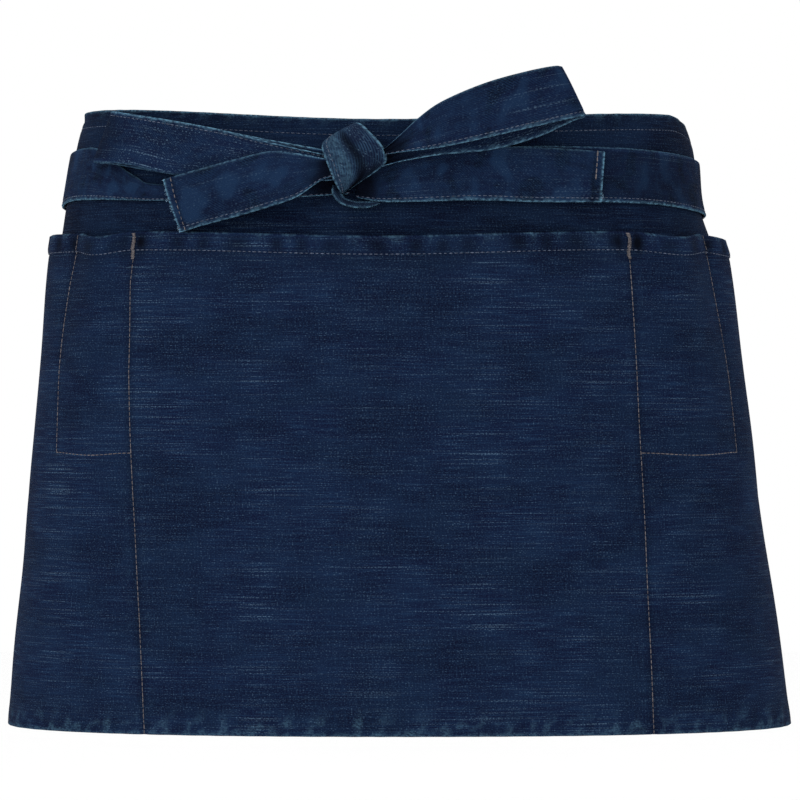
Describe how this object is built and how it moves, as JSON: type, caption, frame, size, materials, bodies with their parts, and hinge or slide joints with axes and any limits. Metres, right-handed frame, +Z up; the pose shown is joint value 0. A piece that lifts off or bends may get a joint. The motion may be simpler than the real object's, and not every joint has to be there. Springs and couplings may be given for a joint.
{
  "type": "waist apron",
  "caption": "Short denim waist apron with a full-width pocket panel, worn round an empty waist and tied at the front with a bow.",
  "frame": {"origin": "on the axis of the waist, level with the middle of the ties", "axes": "+Z up, -Y towards the front where the bow is, +X to the right of someone who looks at the front"},
  "size_m": [0.4561, 0.2446, 0.3761],
  "materials": {
    "body_denim": "matt slub denim, darkest indigo",
    "pocket_denim": "matt slub denim with pale streaks",
    "tie_denim": "matt denim, worn pale at its edges",
    "tie_reverse": "matt reverse side of denim, speckled pale"
  },
  "bodies": {
    "root": {"apron_panel": "body_denim", "pocket_panel": "pocket_denim", "tie_left": "tie_denim", "tie_right": "tie_denim", "bow_knot": "tie_denim", "bow_loop_left": "tie_reverse", "bow_loop_right": "tie_denim", "bow_tail_left": "tie_denim", "bow_tail_right": "tie_denim"}
  },
  "joints": []
}
